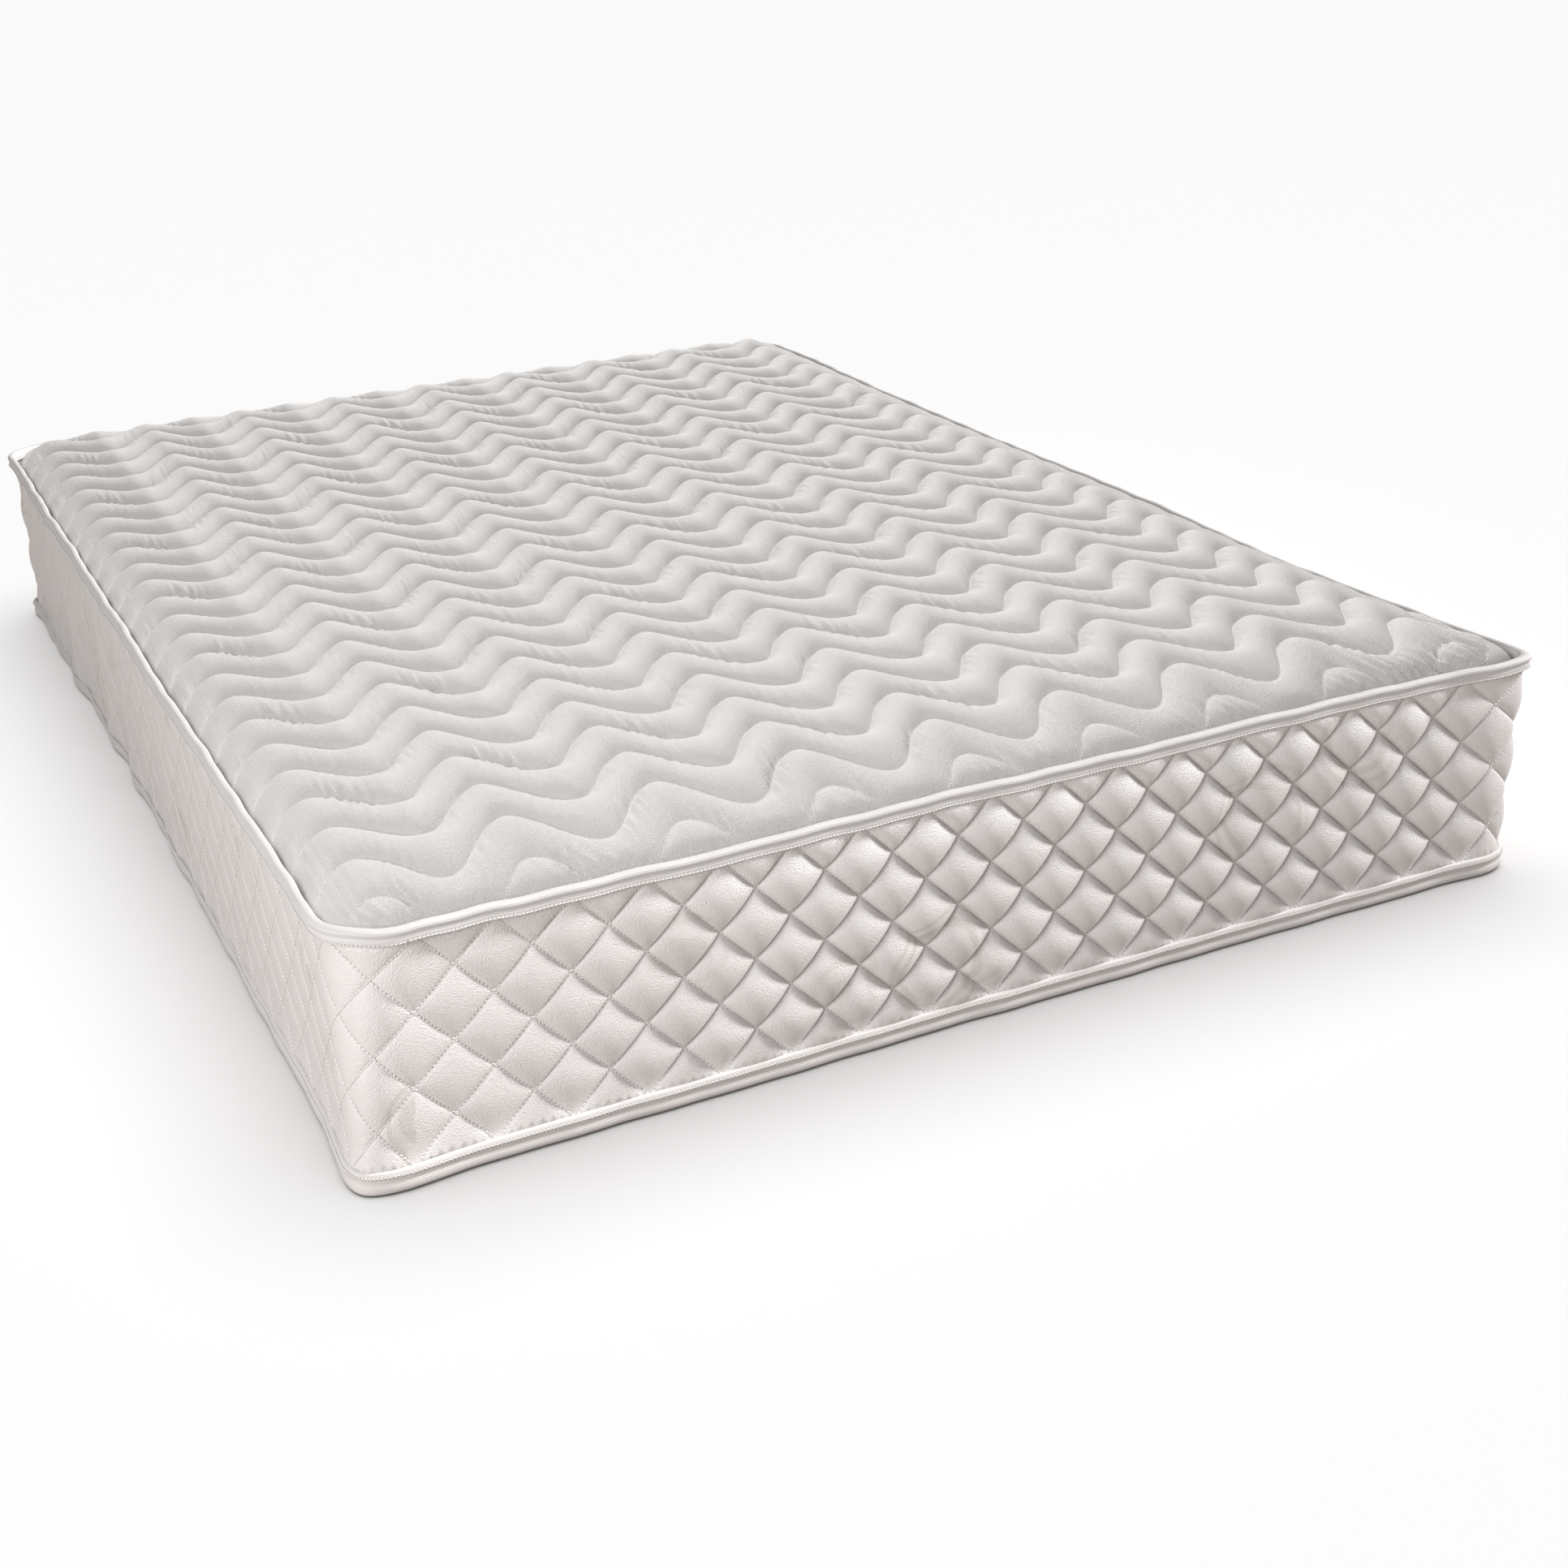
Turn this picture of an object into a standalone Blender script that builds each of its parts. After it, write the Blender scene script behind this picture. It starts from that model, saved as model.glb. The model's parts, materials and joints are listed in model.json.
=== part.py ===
"""Memory foam mattress, 140 x 200 x 30 cm, as it comes apart on a bench.

A stack of foam slabs with a firm rail round the base core stands in a knitted liner. The cover
is a quilted top panel, a quilted border and a quilted bottom panel. The panels are sewn to the
border inside two edge tapes, each a woven strip folded over the seam.

+Z is up and +Y runs from the foot end to the head end. The origin is the middle of the base.
Every piece follows the same plan, a rectangle with round corners, drawn in by its own inset.
"""

import math

import bmesh
import bpy

# Driving dimensions, in metres
WIDTH = 1.400
LENGTH = 2.000
HEIGHT = 0.300  # floor to the crown of the top panel
TAPE_RIDGE = 0.270  # floor to the ridge of the top edge tape
BASE_CORNER_RADIUS = 0.050
TOP_CORNER_RADIUS = 0.075  # at the ridge of the top tape
CORNER_STEPS = 8
LEAST_RADIUS = 0.012
GAP = 0.0003  # between pieces that touch

# Edge tapes: a woven strip folded over the seam, open towards the border
TAPE_THICKNESS = 0.0010
TOP_TAPE_DROP = 0.016  # height of the leg that shows on the border
BOTTOM_TAPE_RISE = 0.022
BOTTOM_FOLD = 0.0010  # the bottom panel carries the weight, so the tape's fold stays just clear
TAPE_INNER_LEG = 0.0086
TAPE_INNER_INSET = 0.0078
THREAD = 0.0009
STITCH_LINE_IN = 0.0024  # from the tape's edge to its stitching

# Border: face fabric, wadding and backing, quilted together
BORDER_FACE = 0.0040
TICKING = 0.0010
BORDER_WADDING = 0.0080
BACKING = 0.0006

# Panels: face fabric turned into the tape as a flange, then wadding, foam and backing
PANEL_TICKING = 0.0014
FLANGE_INSET = 0.0056
FLANGE_THICKNESS = 0.0012
CROWN_START = 0.0095  # inset where the panel begins to swell
TOP_CROWN_RUN = 0.110
BOTTOM_CROWN_RUN = 0.060
CROWN_STEPS = 6
RIM_WADDING = 0.0049
FIBRE_WADDING = 0.0245
BOTTOM_WADDING = 0.0108

# Inside
LINER = 0.0010
CORE_HEIGHT = 0.130
TRANSITION_HEIGHT = 0.040
MEMORY_FOAM_HEIGHT = 0.060
RAIL_WIDTH = 0.080

# Heights and insets that follow
TAPE_FACE = THREAD + GAP
BORDER_WADDING_INSET = BORDER_FACE + TICKING + GAP
BORDER_BACKING_INSET = BORDER_WADDING_INSET + BORDER_WADDING + GAP
LINER_INSET = BORDER_BACKING_INSET + BACKING + GAP
FOAM_INSET = LINER_INSET + LINER + GAP
TAPE_CLEAR = TAPE_THICKNESS + GAP  # from a tape's fold to what it holds
TOP_RIM = TAPE_RIDGE - TAPE_INNER_LEG - GAP
BOTTOM_RIM = BOTTOM_FOLD + TAPE_INNER_LEG + GAP
BOTTOM_WADDING_TOP = PANEL_TICKING + GAP + BOTTOM_WADDING
LINER_BASE = BOTTOM_WADDING_TOP + BACKING + 2 * GAP
CORE_BASE = LINER_BASE + LINER + GAP
TRANSITION_BASE = CORE_BASE + CORE_HEIGHT + GAP
MEMORY_BASE = TRANSITION_BASE + TRANSITION_HEIGHT + GAP
LINER_TOP = MEMORY_BASE + MEMORY_FOAM_HEIGHT + GAP + LINER
TOP_BACKING_BASE = LINER_TOP + GAP
QUILTING_FOAM_BASE = TOP_BACKING_BASE + BACKING + GAP

# name: (colour, roughness)
FINISHES = {
    "top_ticking": ((0.86, 0.85, 0.84), 0.75),
    "border_ticking": ((0.83, 0.80, 0.79), 0.55),
    "bottom_ticking": ((0.78, 0.77, 0.76), 0.85),
    "edge_tape": ((0.84, 0.81, 0.79), 0.60),
    "sewing_thread": ((0.88, 0.87, 0.86), 0.45),
    "fibre_wadding": ((0.90, 0.90, 0.89), 0.95),
    "backing_fleece": ((0.80, 0.80, 0.79), 0.90),
    "quilting_foam": ((0.88, 0.86, 0.74), 0.92),
    "liner_knit": ((0.82, 0.82, 0.80), 0.90),
    "memory_foam": ((0.90, 0.86, 0.70), 0.90),
    "transition_foam": ((0.66, 0.76, 0.82), 0.92),
    "support_foam": ((0.84, 0.84, 0.82), 0.93),
    "rail_foam": ((0.70, 0.72, 0.74), 0.93),
}


def material(finish):
    """The Principled material of a finish, made once."""
    if finish in bpy.data.materials:
        return bpy.data.materials[finish]
    made = bpy.data.materials.new(finish)
    made.use_nodes = True
    shader = made.node_tree.nodes["Principled BSDF"]
    colour, roughness = FINISHES[finish]
    shader.inputs["Base Color"].default_value = (*colour, 1.0)
    shader.inputs["Roughness"].default_value = roughness
    shader.inputs["Metallic"].default_value = 0.0
    return made


def outline(inset, z):
    """Points of the plan at height z, drawn in by inset, anticlockwise. Its corners open out upwards."""
    corner = BASE_CORNER_RADIUS + (TOP_CORNER_RADIUS - BASE_CORNER_RADIUS) * min(z / TAPE_RIDGE, 1)
    radius = max(corner - inset, LEAST_RADIUS)
    centre_x, centre_y = WIDTH / 2 - inset - radius, LENGTH / 2 - inset - radius
    points = []
    for quarter, (side_x, side_y) in enumerate(((1, 1), (-1, 1), (-1, -1), (1, -1))):
        for step in range(CORNER_STEPS + 1):
            turn = math.pi / 2 * (quarter + step / CORNER_STEPS)
            points.append(
                (side_x * centre_x + radius * math.cos(turn), side_y * centre_y + radius * math.sin(turn), z)
            )
    return points


def finished(bm, name, finish):
    """Turns the mesh into the named object, with its faces out and its round corners smooth."""
    bmesh.ops.recalc_face_normals(bm, faces=bm.faces)
    mesh = bpy.data.meshes.new(name)
    bm.to_mesh(mesh)
    bm.free()
    mesh.shade_smooth()
    mesh.set_sharp_from_angle(angle=math.radians(35))
    mesh.materials.append(material(finish))
    piece = bpy.data.objects.new(name, mesh)
    bpy.context.scene.collection.objects.link(piece)
    return piece


def swept(profile, ring):
    """A loop round the plan at the profile's first (inset, z), extruded to each of the others in turn. Every
    corner keeps its station, its place in the outline, which extruding copies. A ring is extruded back to its
    first loop and welded there; anything else has both end loops filled."""
    bm = bmesh.new()
    station = bm.verts.layers.int.new("station")
    corners = [bm.verts.new(point) for point in outline(*profile[0])]
    for number, corner in enumerate(corners):
        corner[station] = number
    loop = [bm.edges.new(pair) for pair in zip(corners, corners[1:] + corners[:1])]
    first = loop
    for inset, z in profile[1:] + profile[:1] * ring:
        places = outline(inset, z)
        grown = bmesh.ops.extrude_edge_only(bm, edges=loop)["geom"]
        moved = {part for part in grown if isinstance(part, bmesh.types.BMVert)}
        for corner in moved:
            corner.co = places[corner[station]]
        edges = [part for part in grown if isinstance(part, bmesh.types.BMEdge)]
        loop = [edge for edge in edges if moved.issuperset(edge.verts)]
    if ring:
        bmesh.ops.remove_doubles(bm, verts=bm.verts, dist=1e-6)
    else:
        for end in (first, loop):
            bmesh.ops.contextual_create(bm, geom=end)
    return bm


def ring(name, finish, profile):
    return finished(swept(profile, ring=True), name, finish)


def slab(name, finish, profile):
    return finished(swept(profile, ring=False), name, finish)


def wall(near, far, low, high):
    """Profile of an upright strip."""
    return [(near, low), (near, high), (far, high), (far, low)]


def flat(inset, low, high):
    """Profile of a flat slab."""
    return [(inset, low), (inset, high)]


def crown(rim, middle, run, start=CROWN_START):
    """Profile points of a swelling surface, from its rim to its flat middle."""
    swell = [step / CROWN_STEPS for step in range(CROWN_STEPS + 1)]
    return [(start + run * part, rim + (middle - rim) * math.sin(math.pi / 2 * part)) for part in swell]


def trimmed(bm, low, high):
    """Cuts off what lies outside the plan rectangle from low to high, and closes the cuts."""
    for axis in (0, 1):
        for side, limit in ((-1, low[axis]), (1, high[axis])):
            place, normal = [0, 0, 0], [0, 0, 0]
            place[axis], normal[axis] = limit, side
            everything = bm.verts[:] + bm.edges[:] + bm.faces[:]
            cut = bmesh.ops.bisect_plane(
                bm, geom=everything, dist=1e-6, plane_co=place, plane_no=normal, clear_outer=True
            )
            rim = [part for part in cut["geom_cut"] if isinstance(part, bmesh.types.BMEdge)]
            if rim:
                bmesh.ops.contextual_create(bm, geom=rim)
    return bm


def add_foam_stack():
    """The base core in its four rails, the transition layer and the memory foam."""
    core_top = CORE_BASE + CORE_HEIGHT
    reach_x, reach_y = WIDTH / 2, LENGTH / 2
    side_x, end_y = WIDTH / 2 - FOAM_INSET - RAIL_WIDTH, LENGTH / 2 - FOAM_INSET - RAIL_WIDTH
    plans = {
        "support_foam_core": ((-side_x, -end_y), (side_x, end_y)),
        "edge_rail_left": ((-reach_x, -reach_y), (-side_x - GAP, reach_y)),
        "edge_rail_right": ((side_x + GAP, -reach_y), (reach_x, reach_y)),
        "edge_rail_foot": ((-side_x, -reach_y), (side_x, -end_y - GAP)),
        "edge_rail_head": ((-side_x, end_y + GAP), (side_x, reach_y)),
    }
    for name, (low, high) in plans.items():
        block = trimmed(swept(flat(FOAM_INSET, CORE_BASE, core_top), ring=False), low, high)
        finished(block, name, "support_foam" if name == "support_foam_core" else "rail_foam")
    slab(
        "transition_foam_layer",
        "transition_foam",
        flat(FOAM_INSET, TRANSITION_BASE, TRANSITION_BASE + TRANSITION_HEIGHT),
    )
    slab("memory_foam_layer", "memory_foam", flat(FOAM_INSET, MEMORY_BASE, MEMORY_BASE + MEMORY_FOAM_HEIGHT))


def add_liner():
    """The knitted liner: a cap drawn down over the foam, and the base sheet that closes it."""
    inner = LINER_INSET + LINER
    cap = [
        (inner + LINER, LINER_TOP),
        (LINER_INSET, LINER_TOP),
        (LINER_INSET, CORE_BASE),
        (inner, CORE_BASE),
        (inner, LINER_TOP - LINER),
        (inner + LINER, LINER_TOP - LINER),
    ]
    slab("liner_cap", "liner_knit", cap)
    slab("liner_base", "liner_knit", flat(LINER_INSET, LINER_BASE, LINER_BASE + LINER))


def add_border():
    """The border strip that runs round all four sides. Its edges end inside the tapes."""
    low, high = BOTTOM_FOLD + TAPE_CLEAR, TAPE_RIDGE - TAPE_CLEAR
    ring("border_ticking", "border_ticking", wall(BORDER_FACE, BORDER_FACE + TICKING, low, high))
    soft_low, soft_high = BOTTOM_RIM + PANEL_TICKING + GAP, TOP_RIM - PANEL_TICKING - GAP
    backing_end = BORDER_BACKING_INSET + BACKING
    ring(
        "border_wadding",
        "fibre_wadding",
        wall(BORDER_WADDING_INSET, BORDER_WADDING_INSET + BORDER_WADDING, soft_low, soft_high),
    )
    ring("border_backing", "backing_fleece", wall(BORDER_BACKING_INSET, backing_end, soft_low, soft_high))


def panel_ticking(name, finish, rim, middle, run, up):
    """A panel's face fabric: crowned, with its edge turned into the tape. Up is 1 on the top panel and -1 on
    the bottom one."""
    edge = FLANGE_INSET + FLANGE_THICKNESS
    tip = TAPE_RIDGE - TAPE_CLEAR if up > 0 else BOTTOM_FOLD + TAPE_CLEAR
    outside = [(FLANGE_INSET, tip), (edge, tip), (edge, rim), *crown(rim, middle, run)]
    back = PANEL_TICKING * up
    inside = [(FLANGE_INSET, rim - back), *crown(rim - back, middle - back, run)]
    slab(name, finish, [*reversed(outside), *inside])


def add_top_panel():
    """Face fabric, fibre wadding, quilting foam and backing. All but the fabric stop inside the border."""
    panel_ticking("top_panel_ticking", "top_ticking", TOP_RIM, HEIGHT, TOP_CROWN_RUN, up=1)
    start = LINER_INSET + GAP
    run = TOP_CROWN_RUN + CROWN_START - start
    wadding_rim, wadding_top = TOP_RIM - PANEL_TICKING - GAP, HEIGHT - PANEL_TICKING - GAP
    foam_rim, foam_top = wadding_rim - RIM_WADDING, wadding_top - FIBRE_WADDING
    upper = crown(wadding_rim, wadding_top, run, start)
    under = crown(foam_rim, foam_top, run, start)
    slab("top_panel_fibre_wadding", "fibre_wadding", [*reversed(upper), *under])
    foam = crown(foam_rim - GAP, foam_top - GAP, run, start)
    slab("top_panel_quilting_foam", "quilting_foam", [*reversed(foam), (start, QUILTING_FOAM_BASE)])
    slab("top_panel_backing", "backing_fleece", flat(start, TOP_BACKING_BASE, TOP_BACKING_BASE + BACKING))


def add_bottom_panel():
    """Face fabric, a thin wadding and backing, flat where the mattress rests."""
    panel_ticking("bottom_panel_ticking", "bottom_ticking", BOTTOM_RIM, 0.0, BOTTOM_CROWN_RUN, up=-1)
    start = LINER_INSET + GAP
    rim, middle = BOTTOM_RIM + PANEL_TICKING + GAP, PANEL_TICKING + GAP
    under = crown(rim, middle, BOTTOM_CROWN_RUN, start)
    slab("bottom_panel_wadding", "fibre_wadding", [*reversed(under), (start, BOTTOM_WADDING_TOP)])
    backing_base = BOTTOM_WADDING_TOP + GAP
    slab("bottom_panel_backing", "backing_fleece", flat(start, backing_base, backing_base + BACKING))


def add_tape(side, fold, reach, up):
    """An edge tape folded over the seam, with its stitching. Up points from the tape to its fold."""
    near, far = TAPE_FACE, TAPE_INNER_INSET + TAPE_THICKNESS
    outer_end, inner_end = fold - up * reach, fold - up * TAPE_INNER_LEG
    under_fold = fold - up * TAPE_THICKNESS
    profile = [
        (near, outer_end),
        (near, fold),
        (far, fold),
        (far, inner_end),
        (TAPE_INNER_INSET, inner_end),
        (TAPE_INNER_INSET, under_fold),
        (near + TAPE_THICKNESS, under_fold),
        (near + TAPE_THICKNESS, outer_end),
    ]
    ring(f"{side}_edge_tape", "edge_tape", profile)
    stitch = outer_end + up * STITCH_LINE_IN
    row = wall(0.0, THREAD, stitch - THREAD / 2, stitch + THREAD / 2)
    ring(f"{side}_tape_stitching", "sewing_thread", row)


def main():
    for obj in list(bpy.data.objects):
        bpy.data.objects.remove(obj, do_unlink=True)
    add_foam_stack()
    add_liner()
    add_border()
    add_top_panel()
    add_bottom_panel()
    add_tape("top", TAPE_RIDGE, TOP_TAPE_DROP, up=1)
    add_tape("bottom", BOTTOM_FOLD, BOTTOM_TAPE_RISE, up=-1)


main()
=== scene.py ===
import json
import math

import bmesh
import bpy
import numpy as np
from mathutils import Matrix, Vector

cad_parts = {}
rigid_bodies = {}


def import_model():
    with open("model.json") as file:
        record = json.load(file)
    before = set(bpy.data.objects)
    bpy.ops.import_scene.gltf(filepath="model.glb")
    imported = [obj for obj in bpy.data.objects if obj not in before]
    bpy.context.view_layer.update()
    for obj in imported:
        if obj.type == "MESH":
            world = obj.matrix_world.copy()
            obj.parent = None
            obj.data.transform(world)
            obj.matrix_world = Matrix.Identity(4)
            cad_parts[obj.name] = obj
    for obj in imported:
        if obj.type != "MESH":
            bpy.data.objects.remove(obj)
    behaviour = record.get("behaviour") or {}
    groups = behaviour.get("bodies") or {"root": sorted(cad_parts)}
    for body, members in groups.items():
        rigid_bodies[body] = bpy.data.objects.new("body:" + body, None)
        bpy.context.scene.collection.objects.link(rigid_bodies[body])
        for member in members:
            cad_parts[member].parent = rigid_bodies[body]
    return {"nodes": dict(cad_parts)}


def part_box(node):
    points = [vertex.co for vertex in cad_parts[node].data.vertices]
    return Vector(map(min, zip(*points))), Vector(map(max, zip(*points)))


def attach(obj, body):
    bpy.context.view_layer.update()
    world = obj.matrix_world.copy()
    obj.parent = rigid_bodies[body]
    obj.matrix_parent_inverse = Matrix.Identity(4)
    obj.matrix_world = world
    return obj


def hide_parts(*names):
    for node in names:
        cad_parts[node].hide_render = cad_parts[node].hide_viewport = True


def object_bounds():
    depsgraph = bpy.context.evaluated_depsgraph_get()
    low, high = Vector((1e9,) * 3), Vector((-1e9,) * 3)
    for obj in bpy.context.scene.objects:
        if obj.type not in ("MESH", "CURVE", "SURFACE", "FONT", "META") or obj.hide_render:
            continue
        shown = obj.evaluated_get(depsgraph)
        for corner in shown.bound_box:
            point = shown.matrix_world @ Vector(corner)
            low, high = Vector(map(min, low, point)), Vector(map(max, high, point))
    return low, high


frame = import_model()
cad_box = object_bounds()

# ---------------------------------------------------------------------------------------------
# Camera: a long lens over the left corner of the foot end, a little off level. It stands first,
# because everything else is judged through it.
# ---------------------------------------------------------------------------------------------
CAMERA_PLACE = Vector((-1.054, -2.721, 1.157))
CAMERA_TURN, CAMERA_DIP, CAMERA_ROLL = math.radians(25.19), math.radians(23.68), math.radians(-2.42)
CAMERA_LENS_MM = 49.6

ahead = Vector(
    (
        math.sin(CAMERA_TURN) * math.cos(CAMERA_DIP),
        math.cos(CAMERA_TURN) * math.cos(CAMERA_DIP),
        -math.sin(CAMERA_DIP),
    )
)
level = ahead.cross(Vector((0, 0, 1))).normalized()
upright = level.cross(ahead)
camera_x = level * math.cos(CAMERA_ROLL) + upright * math.sin(CAMERA_ROLL)
camera_y = upright * math.cos(CAMERA_ROLL) - level * math.sin(CAMERA_ROLL)
camera = bpy.data.objects.new("camera", bpy.data.cameras.new("camera"))
camera.data.lens = CAMERA_LENS_MM
facing = Matrix((camera_x, camera_y, -ahead)).transposed().to_4x4()
camera.matrix_world = Matrix.Translation(CAMERA_PLACE) @ facing
bpy.context.scene.collection.objects.link(camera)
bpy.context.scene.camera = camera


# ---------------------------------------------------------------------------------------------
# Foam stack: the support core in its four firm rails, the transition layer and the memory foam.
# Each is a cut block of open-cell foam, and keeps the shape that the frame gives it.
# ---------------------------------------------------------------------------------------------
def material_with(name, colour, roughness, sheen=0.0):
    """A new material with its shader's fixed values set, and its nodes, links and shader."""
    made = bpy.data.materials.new(name)
    made.use_nodes = True
    nodes, links = made.node_tree.nodes, made.node_tree.links
    shader = nodes["Principled BSDF"]
    shader.inputs["Base Color"].default_value = (*colour, 1)
    shader.inputs["Roughness"].default_value = roughness
    shader.inputs["Sheen Weight"].default_value = sheen
    shader.inputs["Sheen Roughness"].default_value = 0.4
    return made, nodes, links, shader


def foam(name, colour, cell_mm):
    """Open-cell foam: pores of about cell_mm, with a faint mottle from the pour."""
    made, nodes, links, shader = material_with(name, colour, 0.9)
    place = nodes.new("ShaderNodeTexCoord")
    pores = nodes.new("ShaderNodeTexVoronoi")
    pores.inputs["Scale"].default_value = 1000 / cell_mm
    mottle = nodes.new("ShaderNodeTexNoise")
    mottle.inputs["Scale"].default_value = 14
    tint = nodes.new("ShaderNodeMix")
    tint.data_type = "RGBA"
    tint.inputs["A"].default_value = (*(0.93 * part for part in colour), 1)
    tint.inputs["B"].default_value = (*colour, 1)
    bump = nodes.new("ShaderNodeBump")
    bump.inputs["Strength"].default_value = 0.5
    bump.inputs["Distance"].default_value = cell_mm / 1000
    for texture in (pores, mottle):
        links.new(place.outputs["Object"], texture.inputs["Vector"])
    links.new(mottle.outputs["Fac"], tint.inputs["Factor"])
    links.new(tint.outputs["Result"], shader.inputs["Base Color"])
    links.new(pores.outputs["Distance"], bump.inputs["Height"])
    links.new(bump.outputs["Normal"], shader.inputs["Normal"])
    return made


def refinish(node, finish):
    """Gives a CAD node its finished material."""
    mesh = frame["nodes"][node].data
    mesh.materials.clear()
    mesh.materials.append(finish)


refinish("memory_foam_layer", foam("memory_foam", (0.86, 0.80, 0.60), 0.8))
refinish("transition_foam_layer", foam("transition_foam", (0.52, 0.66, 0.76), 1.1))
refinish("support_foam_core", foam("support_foam", (0.78, 0.78, 0.75), 1.4))
rail_foam = foam("rail_foam", (0.60, 0.62, 0.65), 1.2)
for side in ("left", "right", "foot", "head"):
    refinish(f"edge_rail_{side}", rail_foam)


# ---------------------------------------------------------------------------------------------
# Liner and backings: the knitted sleeve that closes round the foams, and the thin fleece that the
# quilting is sewn through. None of them shows on a closed mattress.
# ---------------------------------------------------------------------------------------------
def fabric_grain():
    """Shader group: the surface of a fabric at a stated yarn size, as a height and a tint from 0 to 1."""
    group = bpy.data.node_groups.new("fabric_grain", "ShaderNodeTree")
    group.interface.new_socket("Yarn Scale", in_out="INPUT", socket_type="NodeSocketFloat")
    group.interface.new_socket("Height", in_out="OUTPUT", socket_type="NodeSocketFloat")
    group.interface.new_socket("Tint", in_out="OUTPUT", socket_type="NodeSocketFloat")
    nodes, links = group.nodes, group.links
    given, given_out = nodes.new("NodeGroupInput"), nodes.new("NodeGroupOutput")
    place = nodes.new("ShaderNodeTexCoord")
    yarn, loops = nodes.new("ShaderNodeTexNoise"), nodes.new("ShaderNodeTexVoronoi")
    yarn.inputs["Detail"].default_value = 3
    yarn.inputs["Roughness"].default_value = 0.6
    cloud = nodes.new("ShaderNodeTexNoise")
    cloud.inputs["Scale"].default_value = 9
    cloud.inputs["Detail"].default_value = 4
    both = nodes.new("ShaderNodeMath")
    both.operation = "MULTIPLY_ADD"
    both.inputs[1].default_value = 0.5
    for texture in (yarn, loops, cloud):
        links.new(place.outputs["Object"], texture.inputs["Vector"])
    for texture in (yarn, loops):
        links.new(given.outputs["Yarn Scale"], texture.inputs["Scale"])
    links.new(loops.outputs["Distance"], both.inputs[0])
    links.new(yarn.outputs["Fac"], both.inputs[2])
    links.new(both.outputs["Value"], given_out.inputs["Height"])
    links.new(cloud.outputs["Fac"], given_out.inputs["Tint"])
    return group


grain = fabric_grain()


def add_grain(nodes, links, shader, colour, shade, yarn_mm, relief):
    """Gives a fabric its yarn relief, and a slow drift of colour between shade and colour. Gives back the
    nodes that a pattern may be added to."""
    texture = nodes.new("ShaderNodeGroup")
    texture.node_tree = grain
    texture.inputs["Yarn Scale"].default_value = 1000 / yarn_mm
    tint = nodes.new("ShaderNodeMix")
    tint.data_type = "RGBA"
    tint.inputs["A"].default_value = (*shade, 1)
    tint.inputs["B"].default_value = (*colour, 1)
    bump = nodes.new("ShaderNodeBump")
    bump.inputs["Strength"].default_value = relief
    bump.inputs["Distance"].default_value = yarn_mm / 1000
    links.new(texture.outputs["Tint"], tint.inputs["Factor"])
    links.new(tint.outputs["Result"], shader.inputs["Base Color"])
    links.new(texture.outputs["Height"], bump.inputs["Height"])
    links.new(bump.outputs["Normal"], shader.inputs["Normal"])
    return texture, tint, bump


def plain_cloth(name, colour, yarn_mm, relief, roughness=0.9):
    """A cloth of one colour, with its yarn and a faint drift of shade."""
    made, nodes, links, shader = material_with(name, colour, roughness, sheen=0.2)
    add_grain(nodes, links, shader, colour, [0.95 * part for part in colour], yarn_mm, relief)
    return made


liner_knit = plain_cloth("liner_knit", (0.72, 0.72, 0.70), 1.2, 0.4)
backing_fleece = plain_cloth("backing_fleece", (0.70, 0.70, 0.69), 2.0, 0.3)
for node in ("liner_cap", "liner_base"):
    refinish(node, liner_knit)
for node in ("top_panel_backing", "border_backing", "bottom_panel_backing"):
    refinish(node, backing_fleece)


# ---------------------------------------------------------------------------------------------
# Plan of the cover: a rectangle with round corners, 50 mm at the base and 75 mm at the top tape.
# Border, tapes and stitching are all placed by their distance round it, starting at the left end of
# the foot side and running anticlockwise.
# ---------------------------------------------------------------------------------------------
HALF_WIDTH, HALF_LENGTH = cad_box[1].x, cad_box[1].y
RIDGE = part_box("top_edge_tape")[1].z
BASE_CORNER, TOP_CORNER = 0.050, 0.075
MEAN_CORNER = (BASE_CORNER + TOP_CORNER) / 2
SIDES = [2 * (half - MEAN_CORNER) for half in (HALF_WIDTH, HALF_LENGTH)] * 2
QUARTER = math.pi / 2 * MEAN_CORNER
ROUND = sum(SIDES) + 4 * QUARTER
WALL_WAVES = ((0.0009, 7, 0.4), (0.0006, 17, 2.1), (0.0003, 41, 1.3))
RIGHT_PULL, RIGHT_PULL_MORE, LEFT_PULL = 0.012, 0.023, 0.017
PULL_IN, PULL_TIP, PULL_REACH = 0.018, 0.012, 0.040
HEAD_LIFT, HEAD_LIFT_FROM, HEAD_LIFT_RUN = 0.009, 0.2, 0.8
SAG, SAG_PLACE, SAG_LONG, SAG_WIDE = 0.007, -0.6, 0.25, 0.08


def waves(turn, rows):
    """Sum of waves round the mattress, each given as its size in metres, its count and its start."""
    return sum(size * np.sin(count * turn + start) for size, count, start in rows)


def left_side(along, middle, reach):
    """1 on the left side at a share of its length from the foot end, falling to 0 a reach away."""
    return np.exp(-(((np.mod(along, ROUND) - (ROUND - QUARTER - middle * SIDES[1])) / reach) ** 2))


def sway(along, height):
    """How far the soft wall leans out at a place, in metres. The left side is most uneven, low down."""
    turn = 2 * math.pi * along / ROUND
    low = 1 - 0.85 * np.clip(height / RIDGE, 0, 1)
    bulged = 0.0028 * np.sin(29 * turn + 0.6) + 0.0020 * np.sin(47 * turn + 2.4 + 5 * height)
    return waves(turn, WALL_WAVES) + left_side(along, 0.70, 0.60) * low * bulged


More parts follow.
